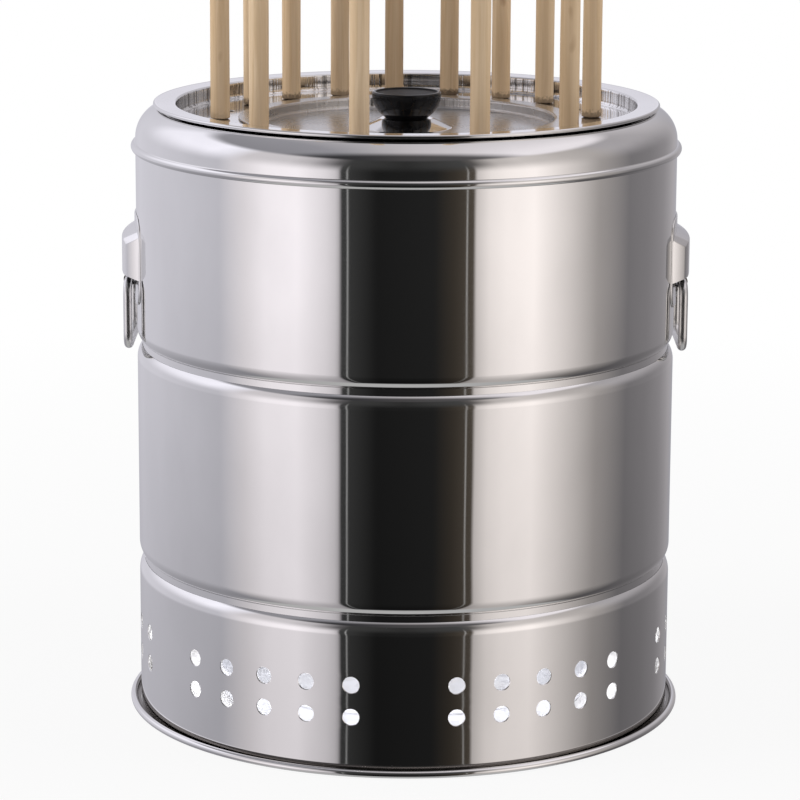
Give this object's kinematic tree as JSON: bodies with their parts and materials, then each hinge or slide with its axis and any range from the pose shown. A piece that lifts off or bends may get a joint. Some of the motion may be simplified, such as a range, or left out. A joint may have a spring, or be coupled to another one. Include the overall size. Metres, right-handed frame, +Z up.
{
  "type": "charcoal barrel grill",
  "caption": "Polished steel charcoal barrel grill: food hangs inside on wooden-handled skewers from a dished lid round a fire-hole cover, over a fire basket, drip tray and ash pan.",
  "frame": {"origin": "centre of the foot rim's underside, on the ground", "axes": "+Z up along the barrel's axis, -Y towards the front, the carry rings at +X and -X"},
  "size_m": [0.316, 0.3118, 0.4822],
  "materials": {
    "polished_steel": "mirror-polished stainless sheet",
    "heat_darkened_steel": "dull sheet, browned by heat",
    "plain_steel": "drawn steel wire and rod",
    "black_knob": "glossy black heat-proof moulding",
    "handle_wood": "bare pale softwood with grain and small knots, charred at the lower end"
  },
  "bodies": {
    "barrel": {"shoulder_collar": "polished_steel", "upper_band": "polished_steel", "middle_band": "polished_steel", "vent_band": "polished_steel", "foot_rim": "polished_steel", "base_pan": "polished_steel", "ear_bracket_left": "polished_steel", "ear_bracket_right": "polished_steel", "ring_keepers": "polished_steel", "tray_ledges": "polished_steel"},
    "carry_ring_left": {"carry_ring_left": "polished_steel"},
    "carry_ring_right": {"carry_ring_right": "polished_steel"},
    "ash_pan": {"ash_pan": "heat_darkened_steel"},
    "fire_basket": {"basket_wall": "heat_darkened_steel", "fire_grate": "heat_darkened_steel", "basket_legs": "heat_darkened_steel", "bail_ears": "heat_darkened_steel", "basket_rivets": "plain_steel"},
    "basket_bail": {"basket_bail": "plain_steel"},
    "drip_tray": {"drip_tray": "polished_steel", "tray_chimney": "polished_steel"},
    "skewer_lid": {"skewer_lid": "polished_steel"},
    "fire_hole_cover": {"fire_hole_cover": "polished_steel", "cover_knob": "black_knob", "knob_screw": "plain_steel", "knob_washer": "plain_steel"},
    "skewer_1": {"skewer_handle_1": "handle_wood", "skewer_needle_1": "plain_steel"},
    "skewer_2": {"skewer_handle_2": "handle_wood", "skewer_needle_2": "plain_steel"},
    "skewer_3": {"skewer_handle_3": "handle_wood", "skewer_needle_3": "plain_steel"},
    "skewer_4": {"skewer_handle_4": "handle_wood", "skewer_needle_4": "plain_steel"},
    "skewer_5": {"skewer_handle_5": "handle_wood", "skewer_needle_5": "plain_steel"},
    "skewer_6": {"skewer_handle_6": "handle_wood", "skewer_needle_6": "plain_steel"},
    "skewer_7": {"skewer_handle_7": "handle_wood", "skewer_needle_7": "plain_steel"},
    "skewer_8": {"skewer_handle_8": "handle_wood", "skewer_needle_8": "plain_steel"},
    "skewer_9": {"skewer_handle_9": "handle_wood", "skewer_needle_9": "plain_steel"},
    "skewer_10": {"skewer_handle_10": "handle_wood", "skewer_needle_10": "plain_steel"},
    "skewer_11": {"skewer_handle_11": "handle_wood", "skewer_needle_11": "plain_steel"},
    "skewer_12": {"skewer_handle_12": "handle_wood", "skewer_needle_12": "plain_steel"},
    "skewer_13": {"skewer_handle_13": "handle_wood", "skewer_needle_13": "plain_steel"}
  },
  "joints": [
    {"name": "lid_lift", "type": "slide", "parent": "barrel", "child": "skewer_lid", "axis": [0, 0, 1], "range_m": [0, 0.24]},
    {"name": "cover_lift", "type": "slide", "parent": "skewer_lid", "child": "fire_hole_cover", "axis": [0, 0, 1], "range_m": [0, 0.12]},
    {"name": "skewer_1_lift", "type": "slide", "parent": "skewer_lid", "child": "skewer_1", "axis": [0, 0, 1], "range_m": [0, 0.22]},
    {"name": "skewer_2_lift", "type": "slide", "parent": "skewer_lid", "child": "skewer_2", "axis": [0, 0, 1], "range_m": [0, 0.22]},
    {"name": "skewer_3_lift", "type": "slide", "parent": "skewer_lid", "child": "skewer_3", "axis": [0, 0, 1], "range_m": [0, 0.22]},
    {"name": "skewer_4_lift", "type": "slide", "parent": "skewer_lid", "child": "skewer_4", "axis": [0, 0, 1], "range_m": [0, 0.22]},
    {"name": "skewer_5_lift", "type": "slide", "parent": "skewer_lid", "child": "skewer_5", "axis": [0, 0, 1], "range_m": [0, 0.22]},
    {"name": "skewer_6_lift", "type": "slide", "parent": "skewer_lid", "child": "skewer_6", "axis": [0, 0, 1], "range_m": [0, 0.22]},
    {"name": "skewer_7_lift", "type": "slide", "parent": "skewer_lid", "child": "skewer_7", "axis": [0, 0, 1], "range_m": [0, 0.22]},
    {"name": "skewer_8_lift", "type": "slide", "parent": "skewer_lid", "child": "skewer_8", "axis": [0, 0, 1], "range_m": [0, 0.22]},
    {"name": "skewer_9_lift", "type": "slide", "parent": "skewer_lid", "child": "skewer_9", "axis": [0, 0, 1], "range_m": [0, 0.22]},
    {"name": "skewer_10_lift", "type": "slide", "parent": "skewer_lid", "child": "skewer_10", "axis": [0, 0, 1], "range_m": [0, 0.22]},
    {"name": "skewer_11_lift", "type": "slide", "parent": "skewer_lid", "child": "skewer_11", "axis": [0, 0, 1], "range_m": [0, 0.22]},
    {"name": "skewer_12_lift", "type": "slide", "parent": "skewer_lid", "child": "skewer_12", "axis": [0, 0, 1], "range_m": [0, 0.22]},
    {"name": "skewer_13_lift", "type": "slide", "parent": "skewer_lid", "child": "skewer_13", "axis": [0, 0, 1], "range_m": [0, 0.22]},
    {"name": "ring_left_swing", "type": "hinge", "parent": "barrel", "child": "carry_ring_left", "pos_m": [-0.1537, 0, 0.2424], "axis": [0, 1, 0], "range_deg": [0, 110]},
    {"name": "ring_right_swing", "type": "hinge", "parent": "barrel", "child": "carry_ring_right", "pos_m": [0.1537, 0, 0.2424], "axis": [0, -1, 0], "range_deg": [0, 110]},
    {"name": "drip_tray_lift", "type": "slide", "parent": "barrel", "child": "drip_tray", "axis": [0, 0, 1], "range_m": [0, 0.03]},
    {"name": "ash_pan_lift", "type": "slide", "parent": "barrel", "child": "ash_pan", "axis": [0, 0, 1], "range_m": [0, 0.05]},
    {"name": "fire_basket_lift", "type": "slide", "parent": "ash_pan", "child": "fire_basket", "axis": [0, 0, 1], "range_m": [0, 0.1]},
    {"name": "bail_swing", "type": "hinge", "parent": "fire_basket", "child": "basket_bail", "pos_m": [0, 0, 0.1601], "axis": [1, 0, 0], "range_deg": [0, 227]}
  ]
}
